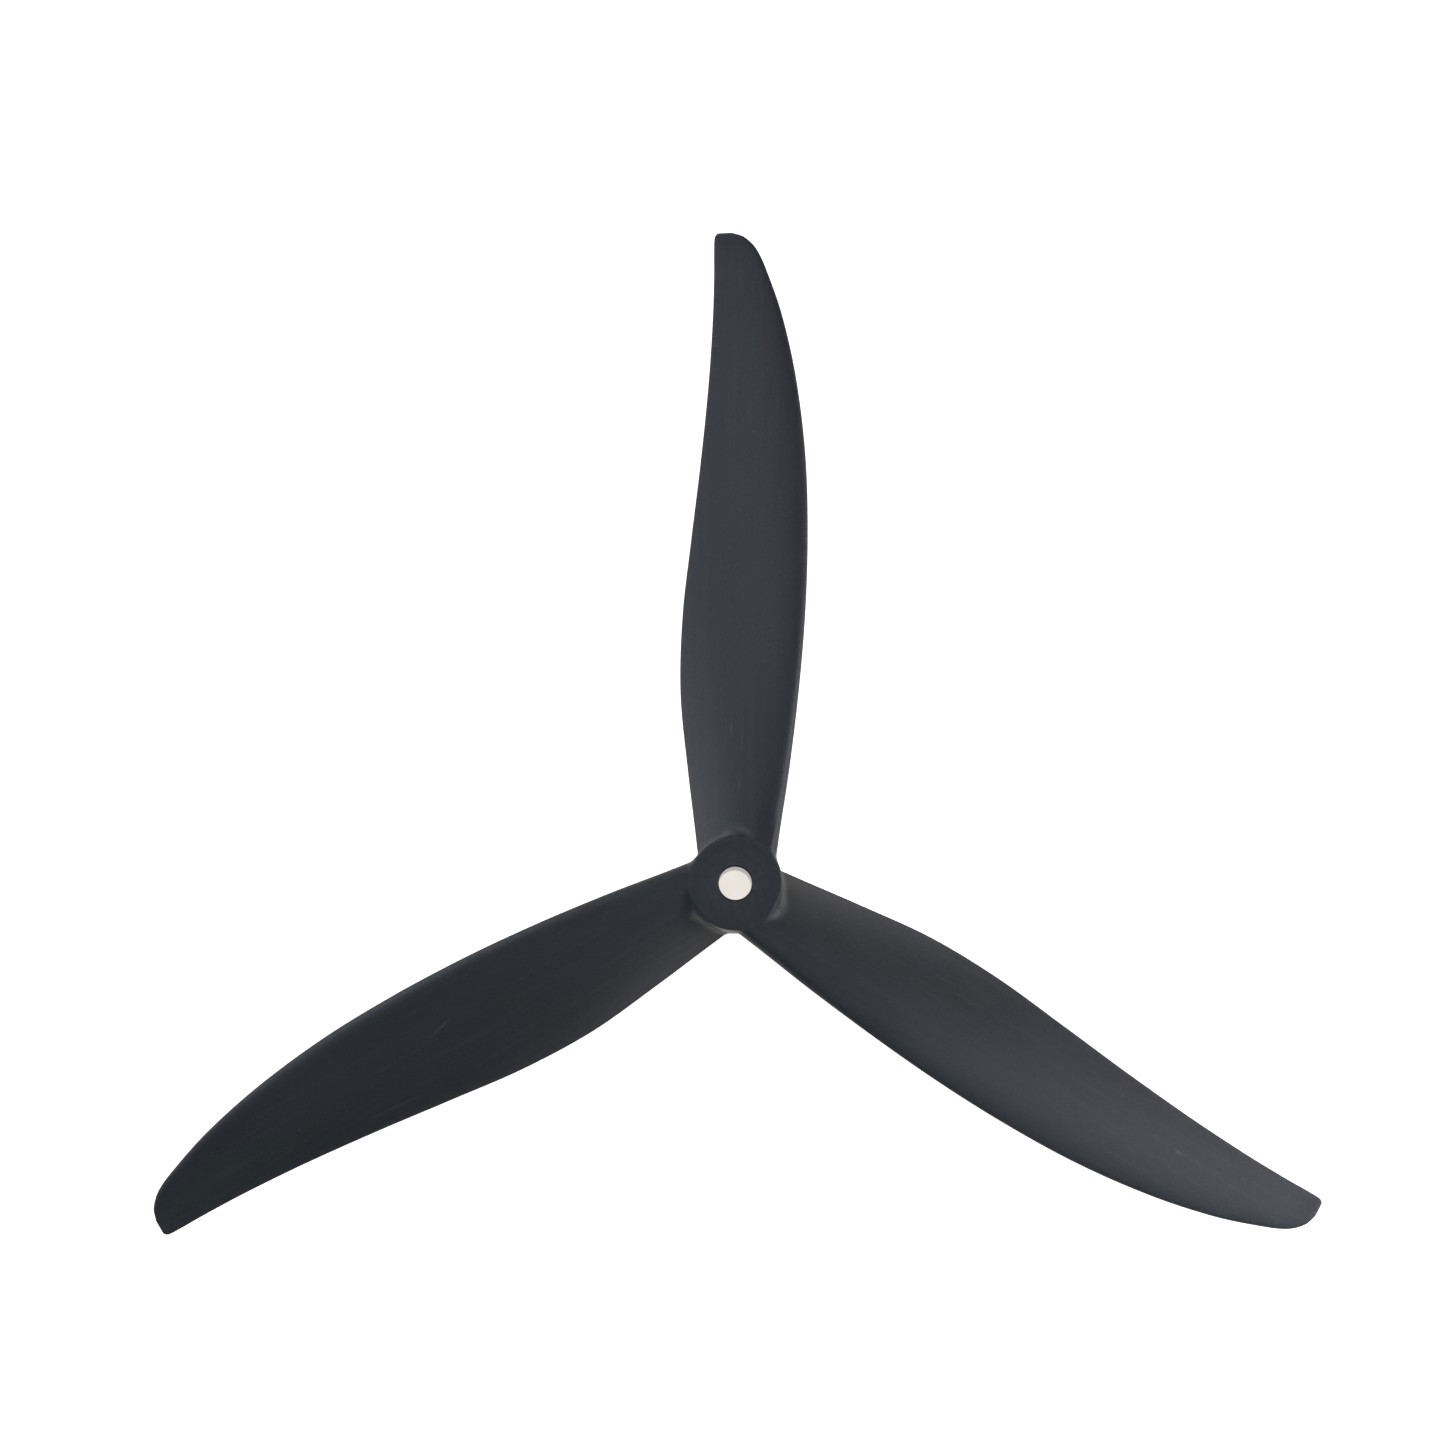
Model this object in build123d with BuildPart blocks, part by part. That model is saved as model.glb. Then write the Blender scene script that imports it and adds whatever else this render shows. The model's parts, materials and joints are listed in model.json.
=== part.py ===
"""Three-blade model-aircraft propeller, 8 inch diameter, 4.5 inch pitch, for a 5 mm shaft.

The propeller is an injection moulding in black glass-filled nylon. It is modelled as a hub
and three blades that meet face to face at the hub's wall, each a solid of its own.

Frame: the shaft axis is Z, and +Z is the way the propeller pulls. The origin is the centre of
the bore on the hub's back face, and blade 1 points along +Y. Seen from +Z the propeller turns
clockwise, so the leading edge of blade 1 is on its +X side, and blade 2 is to its right.
"""

from build123d import *

import math
import os

# Driving dimensions, in millimetres and degrees
DIAMETER = 8 * 25.4
PITCH = 4.5 * 25.4
BLADE_COUNT = 3

HUB_DIAMETER = 14.5
HUB_HEIGHT = 8.0
HUB_EDGE_RADIUS = 0.35
BORE_DIAMETER = 5.05
BORE_CHAMFER = 0.25
EJECTOR_MARK_DIAMETER = 1.6  # the moulding tool's pins leave shallow discs in the back face
EJECTOR_MARK_DEPTH = 0.12
EJECTOR_MARK_CIRCLE = 10.4

ROOT_ANGLE = 26.5  # the blade angle that the pitch helix eases to near the hub
ROOT_MID_HEIGHT = 4.05  # height of the chord's middle above the hub's back, at the shaft axis
TIP_MID_HEIGHT = 5.2  # and at the tip
TAIL_THICKNESS = 0.36  # diameter of the rounded trailing edge

HUB_RADIUS = HUB_DIAMETER / 2
TIP_RADIUS = DIAMETER / 2

# One row for each blade station: its distance from the axis, the offsets of the trailing edge
# and of the leading edge from the blade's radial line, the section's thickness, and its camber,
# the height of the mean line as a share of the chord
BLADE_STATIONS = [
    (2.5, -5.4, 5.95, 3.6, 0.045),
    (8.0, -6.0, 6.75, 3.4, 0.045),
    (18.0, -7.2, 8.3, 2.9, 0.045),
    (30.0, -8.35, 9.75, 2.4, 0.045),
    (42.0, -8.05, 10.75, 2.05, 0.045),
    (54.0, -6.7, 11.15, 1.8, 0.045),
    (66.0, -5.25, 10.85, 1.55, 0.042),
    (78.0, -4.05, 9.5, 1.25, 0.033),
    (88.0, -3.4, 7.4, 0.95, 0.022),
    (95.0, -3.2, 5.1, 0.8, 0.015),
    (99.0, -3.2, 3.3, 0.7, 0.01),
    (101.0, -3.1, 1.3, 0.6, 0.01),
    (TIP_RADIUS, -2.7, -0.4, 0.45, 0.01),
]

# Each surface of a section is one Bezier curve from the leading edge to the trailing edge. Its
# control points stand at these shares of the chord, at heights shared out from the camber and
# from the thickness
CHORD_SHARES = [0, 0, 0.25, 0.65, 1]
CAMBER_SHARES = [0, 0.15, 1.6, 1.2, 0]
THICKNESS_SHARES = [0, 0.55, 0.68, 0.42, 0]

SECTION_COUNT = 24
TIP_CROWDING = 1.6  # over 1, this brings the lofted sections closer together towards the tip


def station_at(radius):
    """The blade station at any distance from the axis, on a smooth curve through the rows."""
    after = next(i for i in range(1, len(BLADE_STATIONS)) if BLADE_STATIONS[i][0] >= radius)
    first, last = BLADE_STATIONS[after - 1], BLADE_STATIONS[after]
    before_first = BLADE_STATIONS[max(after - 2, 0)]
    beyond_last = BLADE_STATIONS[min(after + 1, len(BLADE_STATIONS) - 1)]
    step = last[0] - first[0]
    t = (radius - first[0]) / step
    station = [radius]
    for column in range(1, len(first)):
        slope_in = (last[column] - before_first[column]) / (last[0] - before_first[0]) * step
        slope_out = (beyond_last[column] - first[column]) / (beyond_last[0] - first[0]) * step
        station.append(
            first[column] * (2 * t**3 - 3 * t**2 + 1)
            + last[column] * (3 * t**2 - 2 * t**3)
            + slope_in * (t**3 - 2 * t**2 + t)
            + slope_out * (t**3 - t**2)
        )
    return station


def blade_slope(radius):
    """Tangent of the blade angle: the pitch helix outboard, easing to the root angle inboard."""
    helix = 2 * math.pi * radius / PITCH
    root = 1 / math.tan(math.radians(ROOT_ANGLE))
    return (helix**4 + root**4) ** -0.25


def draw_section(radius, trail, lead, thickness, camber):
    """Draws one blade section, closed, on a plane that lies across the blade."""
    slope = blade_slope(radius)
    chord = (lead - trail) * math.hypot(1, slope)
    middle = ROOT_MID_HEIGHT + (TIP_MID_HEIGHT - ROOT_MID_HEIGHT) * radius / TIP_RADIUS
    nose = Vector(lead, middle + slope * (lead - trail) / 2)
    aft = Vector(-1, -slope).normalized()
    up = Vector(-slope, 1).normalized()
    tail_radius = TAIL_THICKNESS / 2

    def surface(side):
        points = []
        for along, rise, half in zip(CHORD_SHARES, CAMBER_SHARES, THICKNESS_SHARES):
            height = rise * camber * chord + side * (half * thickness + along * tail_radius)
            points.append(nose + aft * (along * (chord - tail_radius)) + up * height)
        return points

    upper = surface(1)
    lower = surface(-1)
    Bezier(*upper)
    ThreePointArc(upper[-1], nose + aft * chord, lower[-1])
    Bezier(*reversed(lower))


with BuildPart() as hub:
    Cylinder(HUB_RADIUS, HUB_HEIGHT, align=(Align.CENTER, Align.CENTER, Align.MIN))
    fillet(hub.edges().filter_by(GeomType.CIRCLE), HUB_EDGE_RADIUS)
    with Locations(hub.faces().sort_by(Axis.Z).last):
        Hole(BORE_DIAMETER / 2)
    chamfer(hub.edges().group_by(Axis.Z)[-1].sort_by(SortBy.RADIUS).first, BORE_CHAMFER)
    with BuildSketch(Plane.XY):
        with PolarLocations(EJECTOR_MARK_CIRCLE / 2, BLADE_COUNT):
            Circle(EJECTOR_MARK_DIAMETER / 2)
    extrude(amount=EJECTOR_MARK_DEPTH, mode=Mode.SUBTRACT)

with BuildPart() as first_blade:
    root = BLADE_STATIONS[0][0]
    for number in range(SECTION_COUNT):
        share_left = 1 - number / (SECTION_COUNT - 1)
        section_radius = TIP_RADIUS - (TIP_RADIUS - root) * share_left**TIP_CROWDING
        with BuildSketch(Plane.XZ.offset(-section_radius)):
            with BuildLine():
                draw_section(*station_at(section_radius))
            make_face()
    loft()
    Cylinder(HUB_RADIUS, 4 * HUB_HEIGHT, mode=Mode.SUBTRACT)

os.makedirs("parts", exist_ok=True)
hub.part.label = "hub"
export_step(hub.part, "parts/hub.step")

for blade_number in range(1, BLADE_COUNT + 1):
    turn = -360 / BLADE_COUNT * (blade_number - 1)
    with BuildPart() as blade:
        add(first_blade.part, rotation=(0, 0, turn))
    blade.part.label = f"blade_{blade_number}"
    export_step(blade.part, f"parts/blade_{blade_number}.step")
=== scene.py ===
"""Three-blade moulded propeller: finished meshes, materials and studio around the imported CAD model.

Everything is in metres, in the CAD model's frame: the shaft axis is Z, the hub's back face is at
z = 0, and blade 1 points along +Y. Lengths that are easier to read in millimetres are written as
a number times MM.
"""

import json
import math

import bmesh
import bpy
import numpy as np
from mathutils import Matrix, Vector


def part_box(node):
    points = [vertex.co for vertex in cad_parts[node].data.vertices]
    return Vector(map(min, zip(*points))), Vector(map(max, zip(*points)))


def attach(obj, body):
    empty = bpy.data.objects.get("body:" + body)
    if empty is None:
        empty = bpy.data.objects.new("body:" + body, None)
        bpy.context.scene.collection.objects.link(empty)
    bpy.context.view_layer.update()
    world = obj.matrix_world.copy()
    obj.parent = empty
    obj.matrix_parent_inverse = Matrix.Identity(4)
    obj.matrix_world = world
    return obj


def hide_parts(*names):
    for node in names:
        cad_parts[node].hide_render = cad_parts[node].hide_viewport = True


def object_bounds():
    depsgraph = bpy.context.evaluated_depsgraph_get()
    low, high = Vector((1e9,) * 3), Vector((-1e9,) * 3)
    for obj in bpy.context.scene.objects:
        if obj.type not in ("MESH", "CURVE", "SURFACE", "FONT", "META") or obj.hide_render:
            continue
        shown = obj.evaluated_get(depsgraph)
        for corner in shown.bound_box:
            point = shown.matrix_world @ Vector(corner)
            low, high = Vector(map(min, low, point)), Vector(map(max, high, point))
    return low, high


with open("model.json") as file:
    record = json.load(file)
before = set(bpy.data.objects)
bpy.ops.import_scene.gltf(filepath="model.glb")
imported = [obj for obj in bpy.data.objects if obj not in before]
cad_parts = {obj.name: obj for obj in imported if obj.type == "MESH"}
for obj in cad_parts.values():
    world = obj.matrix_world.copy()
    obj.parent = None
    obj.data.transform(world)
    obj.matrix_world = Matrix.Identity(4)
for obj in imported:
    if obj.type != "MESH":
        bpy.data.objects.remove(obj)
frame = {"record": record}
cad_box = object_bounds()

MM = 0.001
BODY = "root"
BLADE_NAMES = ["blade_1", "blade_2", "blade_3"]
SECTOR = math.tau / len(BLADE_NAMES)

# Sizes that the CAD model gives
HUB_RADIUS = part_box("hub")[1].x
HUB_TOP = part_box("hub")[1].z
TIP_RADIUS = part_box("blade_1")[1].y
MOUNTS = {mount["name"]: mount for mount in frame["record"]["mounts"]}
BORE_RADIUS = MOUNTS["bore"]["dims"]["r_mm"] * MM
BORE_CHAMFER = HUB_TOP - MOUNTS["bore"]["dims"]["length_mm"] * MM

# The blade's form, the same as in the CAD model: pitch, root angle, heights of the chord's middle,
# tail radius, and one row for each station with its distance from the axis, the offsets of the
# trailing and the leading edge from the radial line, the thickness, and the camber as a share of
# the chord
PITCH = 4.5 * 25.4 * MM
ROOT_ANGLE = math.radians(26.5)
ROOT_MID_HEIGHT = 4.05 * MM
TIP_MID_HEIGHT = 5.2 * MM
TAIL_RADIUS = 0.18 * MM
BLADE_STATIONS = np.array([
    (2.5, -5.4, 5.95, 3.6, 0.045),
    (8.0, -6.0, 6.75, 3.4, 0.045),
    (18.0, -7.2, 8.3, 2.9, 0.045),
    (30.0, -8.35, 9.75, 2.4, 0.045),
    (42.0, -8.05, 10.75, 2.05, 0.045),
    (54.0, -6.7, 11.15, 1.8, 0.045),
    (66.0, -5.25, 10.85, 1.55, 0.042),
    (78.0, -4.05, 9.5, 1.25, 0.033),
    (88.0, -3.4, 7.4, 0.95, 0.022),
    (95.0, -3.2, 5.1, 0.8, 0.015),
    (99.0, -3.2, 3.3, 0.7, 0.01),
    (101.0, -3.1, 1.3, 0.6, 0.01),
    (TIP_RADIUS / MM, -2.7, -0.4, 0.45, 0.01),
]) * (MM, MM, MM, MM, 1)
CHORD_SHARES = np.array([0, 0, 0.25, 0.65, 1])
CAMBER_SHARES = np.array([0, 0.15, 1.6, 1.2, 0])
THICKNESS_SHARES = np.array([0, 0.55, 0.68, 0.42, 0])

# The blend between a blade and the hub
ROOT_FILLET = 1.15 * MM
ROOT_FAN_FILLET = 3.2 * MM  # where the blade's top comes up to the hub's front face
ROOT_CORNER_FILLET = 0.5 * MM  # round the leading and trailing edges
ROOT_BLEND_END = 15 * MM  # inboard of this, a blade's rows bend round to lie along the hub's wall
ROOT_FACE_REACH = 6 * MM  # out to here the blade's top stays level with the front face or below it
ROOT_LEAST_HEIGHT = 0.12 * MM  # how far the blades stay above the hub's back face
FAN_START = (-2.6 * MM, 0.8 * MM)  # offsets over which the fan grows, from the trailing side
FAN_END = (4.6 * MM, 6.2 * MM)  # and over which it fades out towards the leading edge
HUB_EDGE_RADIUS = 0.35 * MM
HUB_FAN_EDGE_RADIUS = 0.8 * MM

# Other moulded details
PARTING_RIDGE = 0.045 * MM
TIP_ROUNDING = 0.3 * MM
TIP_PULL_IN = 0.12  # share by which the tip's last row narrows
EJECTOR_MARK_RADIUS = 0.8 * MM
EJECTOR_MARK_DEPTH = 0.12 * MM
EJECTOR_MARK_CIRCLE = 5.2 * MM
EJECTOR_MARK_TAPER = 0.97
EJECTOR_MARK_STEPS = 48
EDGE_WEAR = "edge_wear"  # how near each vertex is to a worn edge, from 0 to 1
EDGE_WEAR_WIDTH = 0.5 * MM

# How finely the meshes are divided
SURFACE_STEPS = 40  # along the chord
TAIL_STEPS = 6  # round the trailing edge
ROOT_ROWS = 31
OUTER_ROWS = 118
ROOT_CROWDING = 1.8  # over 1, these bring rows closer together towards the hub
TIP_CROWDING = 1.6  # and towards the tip
HUB_STEPS = 360
FRONT_EDGE_STEPS = 8
BACK_EDGE_STEPS = 5
BLADE_CREASE = 50  # degrees: edges sharper than this stay sharp
HUB_CREASE = 30

# The camera and the studio
CAMERA_LENS = 107.7
CAMERA_PLACE = (-0.00965, -0.04784, 0.66563)
CAMERA_SIDE = (0.99993, 0, 0.0117)
CAMERA_UP = (-0.00128, 0.99398, 0.10953)
SENSOR_WIDTH = 36
SOFTBOX_DISTANCE = 0.9
SOFTBOX_SIZE = 0.45
PANEL_SIZE = 0.12
FLOOR_REACH = 3.0
FLOOR_GAP = 0.02 * MM
# The floor glows with this colour. Under the hub's bore the glow is dimmed, and the warm grey there
# is painted shade; further out the glow is strong enough to read as clean white
FLOOR_GLOW = (0.80, 0.74, 0.69, 1)
GLOW_PAST_PAINTED_BORE_SHADE = 1.5  # how much brighter the floor glows outside the hub than under its bore


# ---------------------------------------------------------------- blade form

def station_at(radius):
    """Trailing and leading offsets, thickness and camber at each distance from the axis."""
    rows = BLADE_STATIONS
    radius = np.clip(radius, rows[0, 0], rows[-1, 0])
    after = np.clip(np.searchsorted(rows[:, 0], radius), 1, len(rows) - 1)
    first, last = rows[after - 1], rows[after]
    before_first = rows[np.maximum(after - 2, 0)]
    beyond_last = rows[np.minimum(after + 1, len(rows) - 1)]
    step = (last[:, 0] - first[:, 0])[:, None]
    slope_in = (last - before_first) / (last[:, :1] - before_first[:, :1]) * step
    slope_out = (beyond_last - first) / (beyond_last[:, :1] - first[:, :1]) * step
    t = (radius[:, None] - first[:, :1]) / step
    station = (
        first * (2 * t**3 - 3 * t**2 + 1)
        + last * (3 * t**2 - 2 * t**3)
        + slope_in * (t**3 - 2 * t**2 + t)
        + slope_out * (t**3 - t**2)
    )
    return station[:, 1], station[:, 2], station[:, 3], station[:, 4]


def blade_slope(radius):
    """Tangent of the blade angle: the pitch helix outboard, easing to the root angle inboard."""
    helix = 2 * math.pi * radius / PITCH
    return (helix**4 + math.tan(ROOT_ANGLE) ** -4) ** -0.25


def section_ring():
    """The loop round a section: each point's chord, camber and thickness share, and tail part.

    It runs over the upper surface from the trailing edge to the leading edge, back along the
    lower surface, and round the blunt trailing edge.
    """
    u = np.linspace(0, 1, SURFACE_STEPS + 1)
    bezier = np.stack([math.comb(4, k) * u**k * (1 - u) ** (4 - k) for k in range(5)], axis=1)
    along, camber, half = bezier @ CHORD_SHARES, bezier @ CAMBER_SHARES, bezier @ THICKNESS_SHARES
    turn = np.radians(np.linspace(-90, 90, TAIL_STEPS + 1))[1:-1]
    zeros = np.zeros(len(turn))
    ring = {
        "along": np.concatenate([along[::-1], along[1:], zeros + 1]),
        "camber": np.concatenate([camber[::-1], camber[1:], zeros]),
        "half": np.concatenate([half[::-1], -half[1:], zeros]),
        "tail_up": np.concatenate([along[::-1], -along[1:], np.sin(turn)]),
        "tail_aft": np.concatenate([0 * along[::-1], 0 * along[1:], np.cos(turn)]),
    }
    ring["nose"] = SURFACE_STEPS
    ring["tail"] = len(ring["along"]) - len(turn) // 2 - 1
    return ring


def ring_points(ring, radius):
    """Points of blade 1 for the whole ring, each at its own distance from the axis."""
    trail, lead, thickness, camber = station_at(radius)
    slope = blade_slope(radius)
    chord = (lead - trail) * np.hypot(1, slope)
    middle = ROOT_MID_HEIGHT + (TIP_MID_HEIGHT - ROOT_MID_HEIGHT) * radius / TIP_RADIUS
    aft = ring["along"] * (chord - TAIL_RADIUS) + ring["tail_aft"] * TAIL_RADIUS
    up = ring["camber"] * camber * chord + ring["half"] * thickness + ring["tail_up"] * TAIL_RADIUS
    length = np.hypot(1, slope)
    x = lead + (-aft - up * slope) / length
    z = middle + slope * (lead - trail) / 2 + (-aft * slope + up) / length
    return np.stack([x, radius + 0 * x, z], axis=1)


def ring_normals(points):
    """Outward direction at each ring point, across the blade."""
    step = np.roll(points, -1, axis=0) - np.roll(points, 1, axis=0)
    normal = np.stack([-step[:, 2], 0 * step[:, 0], step[:, 0]], axis=1)
    return normal / np.linalg.norm(normal, axis=1)[:, None]


def wall_radii(ring):
    """Where along the blade each ring point meets the hub's wall."""
    rounds, least = 30, 2.6 * MM
    radius = np.full(len(ring["along"]), HUB_RADIUS)
    for _ in range(rounds):
        x = ring_points(ring, radius)[:, 0]
        radius = np.sqrt(np.maximum(HUB_RADIUS**2 - x**2, least**2))
    return radius


def smooth_step(value, start, end):
    """0 before start, 1 after end, with a smooth S between."""
    t = np.clip((value - start) / (end - start), 0, 1)
    return t * t * (3 - 2 * t)


def round_tip(grid, ring):
    """Thins the last rows towards the blade's mid-surface, so that the tip's edge is round."""
    most = 0.99  # short of 1, so that the last row keeps a little thickness
    nose, count = ring["nose"], len(ring["along"])
    opposite = np.concatenate([np.arange(2 * nose, -1, -1), np.arange(count - 1, 2 * nose, -1)])
    for points in grid:
        into = np.clip(1 - (TIP_RADIUS - points[:, 1]) / TIP_ROUNDING, 0, most)[:, None]
        middle = (points + points[opposite]) / 2
        centre = middle.mean(axis=0)
        kept = np.sqrt(1 - into**2)
        points[:] = middle + (points - middle) * kept
        points[:, 0] -= (points[:, 0] - centre[0]) * TIP_PULL_IN * (1 - kept[:, 0])


def fan_share(x):
    """How far, from 0 to 1, the front face fans out into the blade at an offset along the wall."""
    return smooth_step(x, *FAN_START) * (1 - smooth_step(x, *FAN_END))


def row_radii(wall):
    """Each row's distances from the axis, one for each ring point, from the hub to the tip."""
    rows = []
    for share in np.linspace(0, 1, ROOT_ROWS) ** ROOT_CROWDING:
        rows.append(wall + (ROOT_BLEND_END - wall) * share)
    for share in np.linspace(0, 1, OUTER_ROWS)[1:]:
        eased = 1 - (1 - share) ** TIP_CROWDING
        rows.append(np.full(len(wall), ROOT_BLEND_END + (TIP_RADIUS - ROOT_BLEND_END) * eased))
    return rows


def blend_root(grid, ring):
    """Bends the inner rows into the fillet round the root, and adds the parting-line ridge.

    On the leading half of the top the fillet widens to a fan that meets the hub's front face.
    """
    upper = np.arange(len(ring["along"])) <= ring["nose"]
    fan = upper * fan_share(grid[0][:, 0])
    middle = np.sin(math.pi * np.clip(ring["along"], 0, 1)) ** 0.5
    fillet = ROOT_CORNER_FILLET + (ROOT_FILLET - ROOT_CORNER_FILLET) * middle
    fillet += (ROOT_FAN_FILLET - fillet) * fan
    lip = HUB_EDGE_RADIUS + (HUB_FAN_EDGE_RADIUS - HUB_EDGE_RADIUS) * fan
    drop = np.where(upper, np.maximum(HUB_TOP - grid[0][:, 2], 0), HUB_TOP)
    lean = np.arccos(np.clip(1 - drop / (lip + fillet), 0, 1))  # the blend's steepest slope
    sideways = (1 - fan) * (1 - 0.7 * middle)  # how much of the fillet also widens the chord
    for points in grid:
        normals = ring_normals(points)
        distance = np.hypot(points[:, 0], points[:, 1]) - HUB_RADIUS
        proud = upper * np.maximum(points[:, 2] - HUB_TOP, 0)
        points[:, 2] -= proud * (1 - smooth_step(distance, 0, ROOT_FACE_REACH))
        reach = np.clip(fillet * np.sin(lean) - distance, 0, fillet)
        flare = fillet - np.sqrt(fillet**2 - reach**2)
        points[:, 2] += flare * (normals[:, 2] * (1 - fan) + fan)
        points[:, 0] += flare * normals[:, 0] * sideways
        from_axis = HUB_RADIUS + distance
        along_blade = np.sqrt(np.maximum(from_axis**2 - points[:, 0] ** 2, MM**2))
        points[:, 1] = np.where(reach > 0, along_blade, points[:, 1])
        points[:, 2] = np.maximum(points[:, 2], ROOT_LEAST_HEIGHT)
        for edge in (ring["nose"], ring["tail"]):
            points[edge] += normals[edge] * PARTING_RIDGE * np.clip(distance[edge] / MM, 0, 1)


def blade_rows():
    """The blade's rows of points, from the hub's wall to the tip, and the ring they follow."""
    ring = section_ring()
    grid = [ring_points(ring, radii) for radii in row_radii(wall_radii(ring))]
    blend_root(grid, ring)
    round_tip(grid, ring)
    return np.array(grid), ring


def mesh_object(name, vertices, faces, crease=BLADE_CREASE):
    """A smooth-shaded mesh object, with sharp creases over the given angle in degrees."""
    mesh = bpy.data.meshes.new(name)
    mesh.from_pydata([tuple(v) for v in vertices], [], faces)
    shape = bmesh.new()
    shape.from_mesh(mesh)
    bmesh.ops.recalc_face_normals(shape, faces=shape.faces)
    shape.to_mesh(mesh)
    shape.free()
    mesh.polygons.foreach_set("use_smooth", [True] * len(mesh.polygons))
    mesh.set_sharp_from_angle(angle=math.radians(crease))
    mesh.update()
    piece = bpy.data.objects.new(name, mesh)
    bpy.context.scene.collection.objects.link(piece)
    return piece


def wear_edges(piece, to_edge):
    """Stores how worn each vertex is, from its distance to the nearest edge."""
    wear = piece.data.attributes.new(EDGE_WEAR, "FLOAT", "POINT")
    wear.data.foreach_set("value", np.exp(-np.maximum(to_edge, 0) / EDGE_WEAR_WIDTH))


def cap_faces(start, ring, flip):
    """Quads that close a blade's end, from the upper surface across to the lower one."""
    count = len(ring["along"])
    nose, faces = ring["nose"], []
    for i in range(nose):
        a, b = start + nose - i, start + nose - i - 1
        c, d = start + nose + i + 1, start + nose + i
        faces.append((a, b, c) if i == 0 else (a, b, c, d))
    tail = [start] + [start + i for i in range(count - 1, 2 * nose - 1, -1)]
    faces.append(tuple(tail))
    return [face[::-1] for face in faces] if flip else faces


def make_blade(name, turn, grid, ring):
    """One blade, turned about the shaft from blade 1's place."""
    rows, columns = grid.shape[:2]
    faces = []
    for row in range(rows - 1):
        for column in range(columns):
            after = (column + 1) % columns
            a, b = row * columns + column, row * columns + after
            faces.append((a, b, b + columns, a + columns))
    faces += cap_faces(0, ring, False)
    faces += cap_faces((rows - 1) * columns, ring, True)
    spin = np.array(Matrix.Rotation(turn, 3, "Z"))
    piece = mesh_object(name, grid.reshape(-1, 3) @ spin.T, faces)
    rims = [grid[:, ring[edge]][:, None] for edge in ("nose", "tail")]
    to_edge = np.minimum(*(np.linalg.norm(grid - rim, axis=2) for rim in rims))
    to_edge = np.minimum(to_edge, TIP_RADIUS - grid[:, :, 1])
    wear_edges(piece, to_edge.ravel())
    return piece


# ---------------------------------------------------------------- hub

def hub_edge(angles, root):
    """The front edge's radius and the angle that it turns through, round the hub.

    It turns through a right angle to the open wall, and through less where it meets a blade's
    upper surface, whose points along the wall are given.
    """
    x, y, z = root.T
    order = np.argsort(np.arctan2(x, y))
    place = np.arctan2(x, y)[order]
    blade_radius = HUB_EDGE_RADIUS + (HUB_FAN_EDGE_RADIUS - HUB_EDGE_RADIUS) * fan_share(x[order])
    blade_drop = (HUB_TOP - z)[order]
    local = (angles + SECTOR / 2) % SECTOR - SECTOR / 2
    radius = np.interp(local, place, blade_radius, left=HUB_EDGE_RADIUS, right=HUB_EDGE_RADIUS)
    drop = np.interp(local, place, blade_drop, left=HUB_TOP, right=HUB_TOP)
    return radius, np.arccos(np.clip(1 - drop / radius, 0, 1))


def hub_loops(edge_radius, edge_turn):
    """Radius and height round each loop, from the bore's back rim over the front to the back.

    The front edge has its own radius, and turns through its own angle, at each place round it.
    """
    same = np.ones(HUB_STEPS)
    flat_end = HUB_RADIUS - 1.3 * HUB_FAN_EDGE_RADIUS  # just inside where the widest edge starts
    loops = [
        (same * BORE_RADIUS, same * 0),
        (same * BORE_RADIUS, same * (HUB_TOP - BORE_CHAMFER)),
        (same * (BORE_RADIUS + BORE_CHAMFER), same * HUB_TOP),
        (same * flat_end, same * HUB_TOP),
    ]
    for share in np.linspace(0, 1, FRONT_EDGE_STEPS + 1):
        turned = edge_turn * share
        inset = edge_radius * (np.sin(edge_turn) - np.sin(turned))
        loops.append((HUB_RADIUS - inset, HUB_TOP - edge_radius * (1 - np.cos(turned))))
    loops += [(same * HUB_RADIUS, same * HUB_TOP * share) for share in (0.7, 0.5, 0.25)]
    for turned in np.radians(np.linspace(0, 90, BACK_EDGE_STEPS + 1)):
        inset = HUB_EDGE_RADIUS * (1 - math.cos(turned))
        height = HUB_EDGE_RADIUS * (1 - math.sin(turned))
        loops.append((same * (HUB_RADIUS - inset), same * height))
    return loops


def make_hub(grid, ring):
    """The hub: front face, bore with its chamfer, back face and rounded outer edges."""
    angles = np.linspace(0, math.tau, HUB_STEPS, endpoint=False)
    loops = hub_loops(*hub_edge(angles, grid[0][: ring["nose"] + 1]))
    vertices, faces = [], []
    for radius, height in loops:
        vertices += list(zip(radius * np.sin(angles), radius * np.cos(angles), height))
    for loop in range(len(loops)):
        start, after = loop * HUB_STEPS, (loop + 1) % len(loops) * HUB_STEPS
        for i in range(HUB_STEPS):
            j = (i + 1) % HUB_STEPS
            faces.append((start + i, start + j, after + j, after + i))
    piece = mesh_object("propeller_hub", vertices, faces, HUB_CREASE)
    press_ejector_marks(piece)
    places = np.empty(len(piece.data.vertices) * 3)
    piece.data.vertices.foreach_get("co", places)
    x, y, z = places.reshape(-1, 3).T
    radius = np.hypot(x, y)
    to_face = np.minimum(HUB_TOP - z, z)
    to_rim = np.hypot(HUB_RADIUS - radius, to_face)
    to_bore = np.hypot(radius - BORE_RADIUS, to_face)
    wear_edges(piece, np.minimum(to_rim + EDGE_WEAR_WIDTH, to_bore))
    return piece


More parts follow.
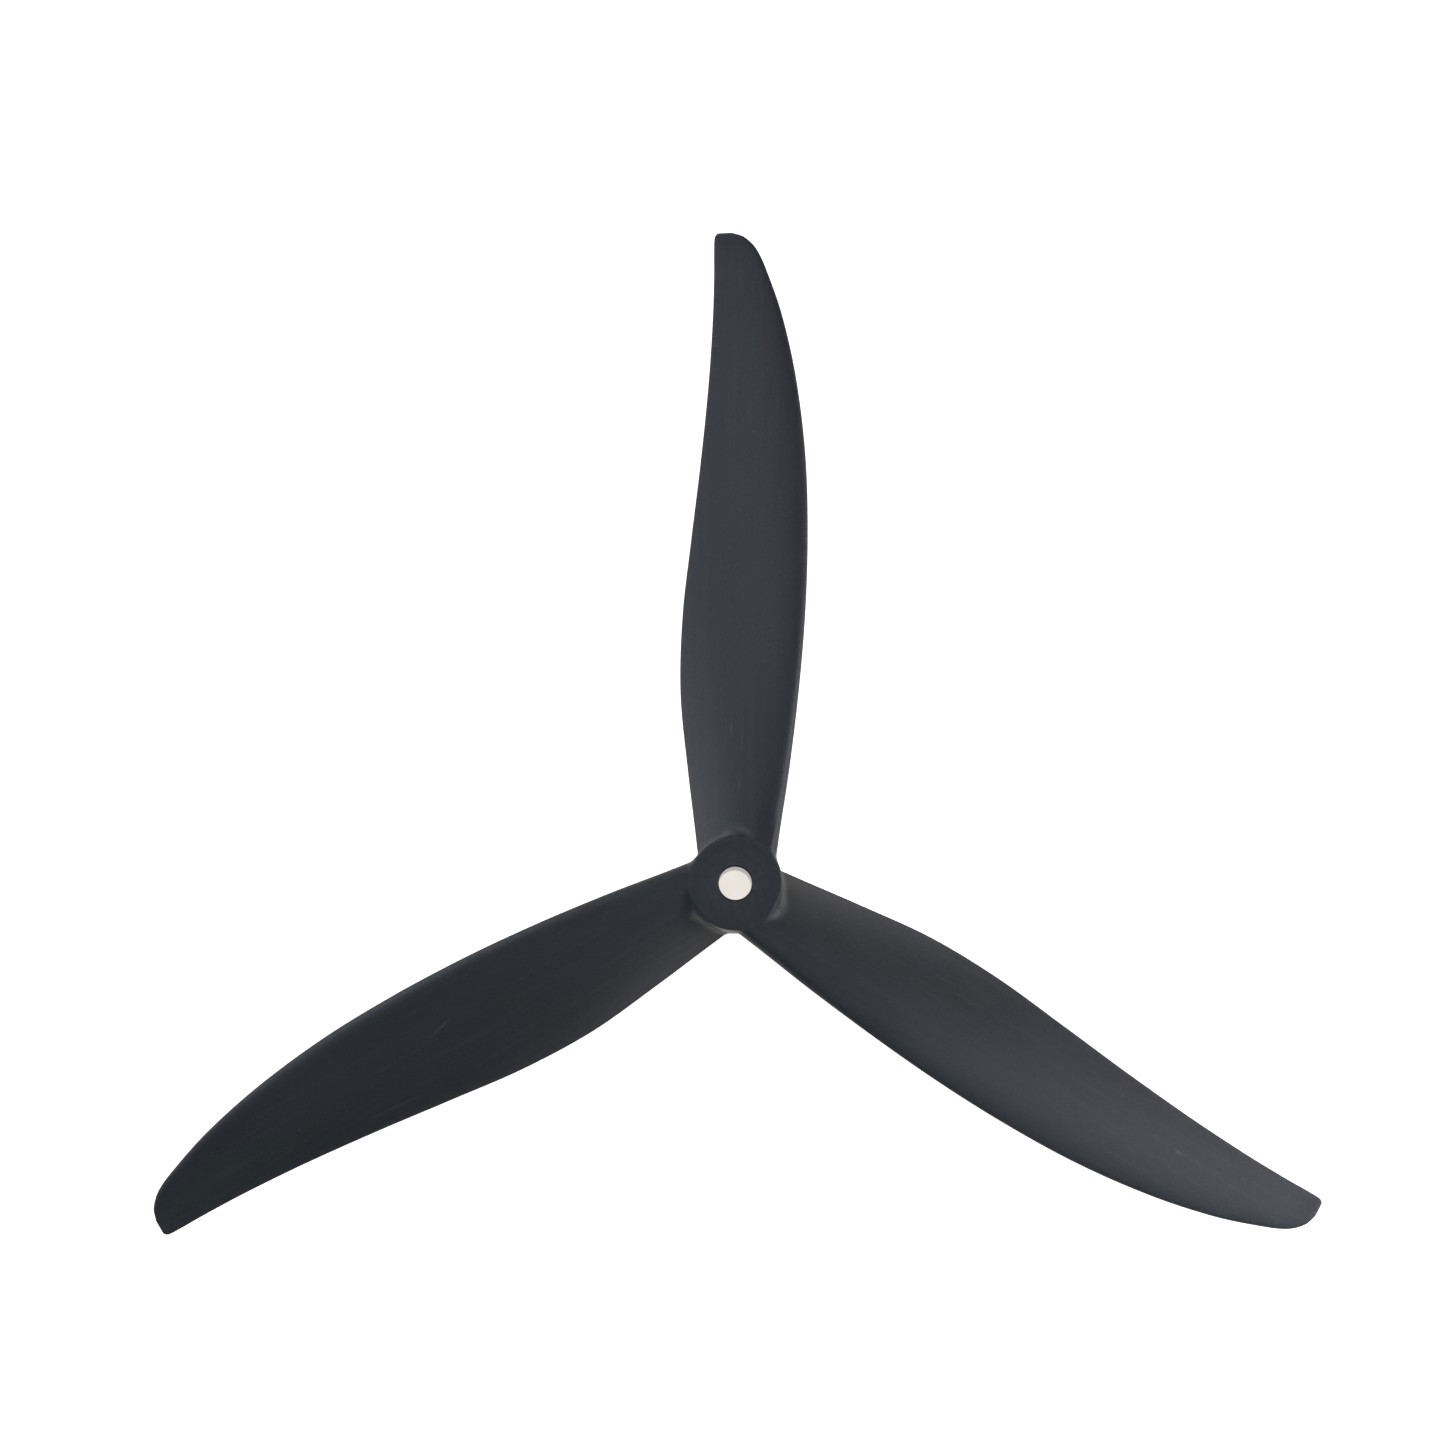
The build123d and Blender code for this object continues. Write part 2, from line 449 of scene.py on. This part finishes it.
def press_ejector_marks(piece):
    """Cuts three shallow discs into the hub's back face."""
    cutter = bmesh.new()
    for number in range(len(BLADE_NAMES)):
        angle = number * SECTOR
        across = Vector((math.cos(angle), math.sin(angle), 0)) * EJECTOR_MARK_CIRCLE
        bmesh.ops.create_cone(
            cutter, cap_ends=True, segments=EJECTOR_MARK_STEPS, depth=2 * EJECTOR_MARK_DEPTH,
            radius1=EJECTOR_MARK_RADIUS, radius2=EJECTOR_MARK_RADIUS * EJECTOR_MARK_TAPER,
            matrix=Matrix.Translation(across),
        )
    mesh = bpy.data.meshes.new("ejector_cutter")
    cutter.to_mesh(mesh)
    cutter.free()
    tool = bpy.data.objects.new("ejector_cutter", mesh)
    bpy.context.scene.collection.objects.link(tool)
    cut = piece.modifiers.new("ejector_marks", "BOOLEAN")
    cut.operation = "DIFFERENCE"
    cut.object = tool
    cut.solver = "EXACT"
    bpy.context.view_layer.update()
    shape = piece.evaluated_get(bpy.context.evaluated_depsgraph_get())
    finished = bpy.data.meshes.new_from_object(shape)
    piece.modifiers.clear()
    piece.data = finished
    finished.polygons.foreach_set("use_smooth", [True] * len(finished.polygons))
    finished.set_sharp_from_angle(angle=math.radians(HUB_CREASE))
    bpy.data.objects.remove(tool)


# ---------------------------------------------------------------- materials

MARK_SHIFT = 0.37  # metres between the places in the patterns that two blades take
HUB_MARK_SHIFT = 1.6
HUB_FLOW_TURN = 0.4  # radians

# The nylon's tones, each mixed in where the patterns below say
DARK_NYLON = (0.0165, 0.0180, 0.0205, 1)
PALE_NYLON = (0.0235, 0.0255, 0.0290, 1)
GREENISH_NYLON = (0.0190, 0.0240, 0.0235, 1)
VIOLET_NYLON = (0.0225, 0.0210, 0.0300, 1)
FLOW_STREAK = (0.031, 0.034, 0.039, 1)
GLASS_FIBRE = (0.070, 0.075, 0.082, 1)
DUST = (0.17, 0.17, 0.18, 1)
SCRATCHED_NYLON = (0.10, 0.105, 0.12, 1)
RUBBED_NYLON = (0.058, 0.060, 0.066, 1)


class Nodes:
    """A short way to write a node tree."""

    def __init__(self, tree):
        self.tree = tree
        tree.nodes.clear()

    def add(self, kind, settings=None, **inputs):
        node = self.tree.nodes.new(kind)
        for name, value in (settings or {}).items():
            setattr(node, name, value)
        for name, value in inputs.items():
            socket = node.inputs[name.replace("_", " ")]
            if isinstance(value, bpy.types.NodeSocket):
                self.tree.links.new(value, socket)
            else:
                socket.default_value = value
        return node

    def noise(self, vector, scale, detail=3.0, roughness=0.5):
        node = self.add("ShaderNodeTexNoise", Vector=vector, Scale=scale, Detail=detail)
        node.inputs["Roughness"].default_value = roughness
        return node.outputs["Fac"]

    def stretch(self, vector, scale, turn=0.0, shift=0.0):
        """Coordinates scaled, then turned about Z, and then shifted along all three axes."""
        node = self.add("ShaderNodeMapping", Vector=vector, Scale=scale)
        node.inputs["Rotation"].default_value = (0, 0, turn)
        node.inputs["Location"].default_value = (shift, shift, shift)
        return node.outputs["Vector"]

    def move(self, vector, offset):
        """Coordinates moved by an offset along each axis."""
        return self.add("ShaderNodeMapping", Vector=vector, Location=offset).outputs["Vector"]

    def remap(self, value, low, high, out_low, out_high):
        node = self.add("ShaderNodeMapRange", Value=value)
        limits = {"From Min": low, "From Max": high, "To Min": out_low, "To Max": out_high}
        for name, number in limits.items():
            node.inputs[name].default_value = number
        return node.outputs["Result"]

    def maths(self, operation, a, b=0.0):
        node = self.add("ShaderNodeMath", {"operation": operation})
        for socket, value in zip(node.inputs, (a, b)):
            if isinstance(value, bpy.types.NodeSocket):
                self.tree.links.new(value, socket)
            else:
                socket.default_value = value
        return node.outputs["Value"]

    def mix(self, share, a, b):
        node = self.add("ShaderNodeMix", {"data_type": "RGBA"})
        for socket, value in ((node.inputs[0], share), (node.inputs[6], a), (node.inputs[7], b)):
            if isinstance(value, bpy.types.NodeSocket):
                self.tree.links.new(value, socket)
            else:
                socket.default_value = value
        return node.outputs[2]


def glass_nylon(name, turn, shift):
    """Black glass-filled nylon as moulded, its flow running along the blade at that turn.

    The shift, in metres, moves every pattern, so that no two pieces carry the same marks.
    """
    material = bpy.data.materials.new(name)
    material.use_nodes = True
    n = Nodes(material.node_tree)
    place = n.add("ShaderNodeTexCoord").outputs["Object"]
    along = n.stretch(place, (1, 1, 1), -turn, shift)

    # Slow changes of tone and tint, as the melt flowed
    clouds = n.noise(n.stretch(along, (75, 30, 75)), 1.0, 3.0)
    tint = n.noise(n.stretch(along, (110, 38, 110)), 1.3, 2.0)
    colour = n.mix(n.remap(clouds, 0.32, 0.68, 0, 1), DARK_NYLON, PALE_NYLON)
    colour = n.mix(n.remap(tint, 0.5, 0.72, 0, 0.7), colour, GREENISH_NYLON)
    colour = n.mix(n.remap(tint, 0.48, 0.3, 0, 0.6), colour, VIOLET_NYLON)
    flow = n.noise(n.stretch(along, (1100, 45, 1100)), 1.0, 4.0, 0.6)
    colour = n.mix(n.remap(flow, 0.5, 0.78, 0, 0.5), colour, FLOW_STREAK)

    # Short glass fibres just under the skin, and the fine grain of the mould
    grain = n.noise(along, 4600, 3.0, 0.65)
    fibres = fibre_flecks(n, along)
    colour = n.mix(n.maths("MULTIPLY", fibres, 0.3), colour, GLASS_FIBRE)

    # Handling: dust, hairline scratches, and edges rubbed a little paler
    dust = specks(n, along)
    colour = n.mix(n.maths("MULTIPLY", dust, 0.6), colour, DUST)
    hairlines = scratches(n, along)
    colour = n.mix(n.maths("MULTIPLY", hairlines, 0.3), colour, SCRATCHED_NYLON)
    edge = n.add("ShaderNodeAttribute", {"attribute_name": EDGE_WEAR}).outputs["Fac"]
    uneven = n.remap(n.noise(along, 900, 4.0, 0.7), 0.42, 0.66, 0.12, 0.8)
    colour = n.mix(n.maths("MULTIPLY", edge, uneven), colour, RUBBED_NYLON)

    # The bore was moulded on a polished pin, so its wall is glossier than the faces
    x, y, _ = n.add("ShaderNodeSeparateXYZ", Vector=place).outputs
    squares = n.maths("ADD", n.maths("MULTIPLY", x, x), n.maths("MULTIPLY", y, y))
    from_axis = n.maths("SQRT", squares)
    polished = n.remap(from_axis, BORE_RADIUS + 0.03 * MM, BORE_RADIUS + 0.01 * MM, 0, 1)
    matt = n.remap(n.maths("ADD", clouds, grain), 0.6, 1.4, 0.45, 0.58)
    matt = n.maths("ADD", matt, n.maths("MULTIPLY", fibres, -0.12))
    roughness = n.maths("MULTIPLY", matt, n.remap(polished, 0, 1, 1, 0.3))

    height = n.maths("ADD", n.maths("MULTIPLY", grain, 0.7), n.maths("MULTIPLY", flow, 0.5))
    height = n.maths("ADD", height, n.maths("MULTIPLY", fibres, 0.35))
    height = n.maths("SUBTRACT", height, n.maths("MULTIPLY", hairlines, 1.1))
    bump = n.add("ShaderNodeBump", Strength=0.4, Distance=0.02 * MM, Height=height)

    surface = n.add("ShaderNodeBsdfPrincipled", Base_Color=colour, Roughness=roughness)
    surface.inputs["IOR"].default_value = 1.53
    surface.inputs["Specular IOR Level"].default_value = 0.4
    n.tree.links.new(bump.outputs["Normal"], surface.inputs["Normal"])
    n.add("ShaderNodeOutputMaterial", Surface=surface.outputs["BSDF"])
    return material


def fibre_flecks(n, place):
    """Short pale flecks that lie mostly along the flow, at three slightly different angles."""
    total = None
    for turn, offset in ((-0.5, 0.0), (0.0, 0.031), (0.55, 0.072)):
        moved = n.move(place, (offset, offset, offset))
        streaks = n.noise(n.stretch(moved, (10500, 1500, 6000), turn), 1.0, 1.0)
        flecks = n.remap(streaks, 0.68, 0.76, 0, 1)
        total = flecks if total is None else n.maths("MAXIMUM", total, flecks)
    return total


def specks(n, place):
    """A few small pale specks of dust."""
    cells = n.add("ShaderNodeTexVoronoi", Vector=place, Scale=330.0).outputs
    draw = n.add("ShaderNodeSeparateColor", Color=cells["Color"]).outputs[0]
    chosen = n.remap(draw, 0.94, 0.95, 0, 1)
    return n.maths("MULTIPLY", n.remap(cells["Distance"], 0.02, 0.05, 1, 0), chosen)


def scratches(n, place):
    """A few hairline scratches, where two drawn-out noises cross their middle values."""
    total = None
    for turn, offset in ((0.22, 0.013), (-0.34, 0.058)):
        moved = n.move(place, (offset, offset, 0))
        lines = n.noise(n.stretch(moved, (210, 6, 40), turn), 1.0, 0.0)
        from_middle = n.maths("ABSOLUTE", n.maths("SUBTRACT", lines, 0.5))
        hairline = n.remap(from_middle, 0.0, 0.003, 1, 0)
        patches = n.noise(moved, 85.0, 1.0)
        one = n.maths("MULTIPLY", hairline, n.remap(patches, 0.62, 0.67, 0, 1))
        total = one if total is None else n.maths("MAXIMUM", total, one)
    return total


def paint(piece, material):
    """Gives a piece one material all over."""
    piece.data.materials.clear()
    piece.data.materials.append(material)


# ---------------------------------------------------------------- studio

def make_floor():
    """A plain pale floor that the hub rests on, lit and glowing enough to read as clean white, with
    painted shade: its glow is dimmer and warm grey under the hub's bore.
    """
    height = cad_box[0].z - FLOOR_GAP
    signs = ((-1, -1), (1, -1), (1, 1), (-1, 1))
    corners = [(FLOOR_REACH * x, FLOOR_REACH * y, height) for x, y in signs]
    floor = mesh_object("studio_floor", corners, [(0, 1, 2, 3)])
    material = bpy.data.materials.new("studio_floor")
    material.use_nodes = True
    n = Nodes(material.node_tree)
    paper = n.noise(n.add("ShaderNodeTexCoord").outputs["Object"], 900.0, 2.0)
    pale = n.mix(n.remap(paper, 0.3, 0.7, 0, 1), (0.84, 0.83, 0.82, 1), (0.88, 0.87, 0.86, 1))
    diffuse = n.add("ShaderNodeBsdfDiffuse", Color=pale).outputs["BSDF"]
    from_axis = n.add("ShaderNodeVectorMath", {"operation": "LENGTH"})
    n.tree.links.new(n.add("ShaderNodeTexCoord").outputs["Object"], from_axis.inputs[0])
    distance = from_axis.outputs["Value"]
    # Painted shade: the floor glows less near the axis, so that the floor seen through the bore looks
    # shaded
    glow_with_painted_bore_shade = n.remap(distance, 1.2 * BORE_RADIUS, HUB_RADIUS, 1, GLOW_PAST_PAINTED_BORE_SHADE)
    glow = n.add("ShaderNodeEmission", Color=FLOOR_GLOW, Strength=glow_with_painted_bore_shade).outputs["Emission"]
    both = n.add("ShaderNodeAddShader")
    n.tree.links.new(diffuse, both.inputs[0])
    n.tree.links.new(glow, both.inputs[1])
    n.add("ShaderNodeOutputMaterial", Surface=both.outputs["Shader"])
    paint(floor, material)


def area_light(name, place, target, size, power, colour):
    """A square soft light that faces a point, and doesn't show in the picture itself."""
    lamp = bpy.data.lights.new(name, "AREA")
    lamp.size = size
    lamp.energy = power
    lamp.color = colour
    holder = bpy.data.objects.new(name, lamp)
    holder.location = place
    holder.rotation_euler = (Vector(target) - Vector(place)).to_track_quat("-Z", "Y").to_euler()
    holder.visible_camera = False
    bpy.context.scene.collection.objects.link(holder)


def softbox(name, azimuth, elevation, power, colour):
    """A large softbox at a bearing from the propeller's +X axis, round to the left."""
    turn, rise = math.radians(azimuth), math.radians(elevation)
    reach = SOFTBOX_DISTANCE * math.cos(rise)
    place = (reach * math.cos(turn), reach * math.sin(turn), SOFTBOX_DISTANCE * math.sin(rise))
    area_light(name, place, (0, 0, 0), SOFTBOX_SIZE, power, colour)


def make_lights():
    """Softboxes round the table, two small panels by the lower right blade, a pale backdrop."""
    softbox("left_softbox", 180, 12, 1.50, (0.87, 1.0, 1.26))
    softbox("upper_left_softbox", 135, 38, 2.92, (0.95, 0.99, 1.22))
    softbox("overhead_softbox", 112, 65, 0.70, (0.97, 1.0, 1.03))
    softbox("front_softbox", 292, 65, 0.67, (0.80, 1.05, 1.09))
    beside = Vector((0.085, -0.048, 0))
    right, lower_right = (0.20, 0, 0.12), (0.20, -0.10, 0.12)
    area_light("right_panel", right, beside, PANEL_SIZE, 0.308, (0.99, 1.0, 1.06))
    area_light("lower_right_panel", lower_right, beside, PANEL_SIZE, 0.076, (0.85, 1.0, 1.4))

    world = bpy.data.worlds.new("studio")
    bpy.context.scene.world = world
    world.use_nodes = True
    n = Nodes(world.node_tree)
    seen = n.add("ShaderNodeLightPath").outputs["Is Camera Ray"]
    backdrop = n.mix(seen, (0.004, 0.004, 0.005, 1), (1, 1, 1, 1))
    sky = n.add("ShaderNodeBackground", Color=backdrop)
    n.add("ShaderNodeOutputWorld", Surface=sky.outputs["Background"])


def make_camera():
    """The camera looks nearly along the shaft, from a little below it in the picture."""
    lens = bpy.data.cameras.new("camera")
    lens.sensor_width = SENSOR_WIDTH
    lens.lens = CAMERA_LENS
    camera = bpy.data.objects.new("camera", lens)
    side, up = Vector(CAMERA_SIDE).normalized(), Vector(CAMERA_UP)
    back = side.cross(up).normalized()
    up = back.cross(side)
    facing = Matrix((side, up, back)).transposed().to_4x4()
    camera.matrix_world = Matrix.Translation(CAMERA_PLACE) @ facing
    bpy.context.scene.collection.objects.link(camera)
    bpy.context.scene.camera = camera


# ---------------------------------------------------------------- build

make_camera()
make_floor()
make_lights()
bpy.context.scene.view_settings.view_transform = "Standard"

blade_grid, blade_ring = blade_rows()
for number, name in enumerate(BLADE_NAMES):
    turn = -number * SECTOR
    piece = make_blade(f"moulded_{name}", turn, blade_grid, blade_ring)
    paint(piece, glass_nylon(f"glass_nylon_{name}", turn, MARK_SHIFT * number))
    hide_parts(name)
    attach(piece, BODY)

hub = make_hub(blade_grid, blade_ring)
paint(hub, glass_nylon("glass_nylon_hub", HUB_FLOW_TURN, HUB_MARK_SHIFT))
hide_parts("hub")
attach(hub, BODY)
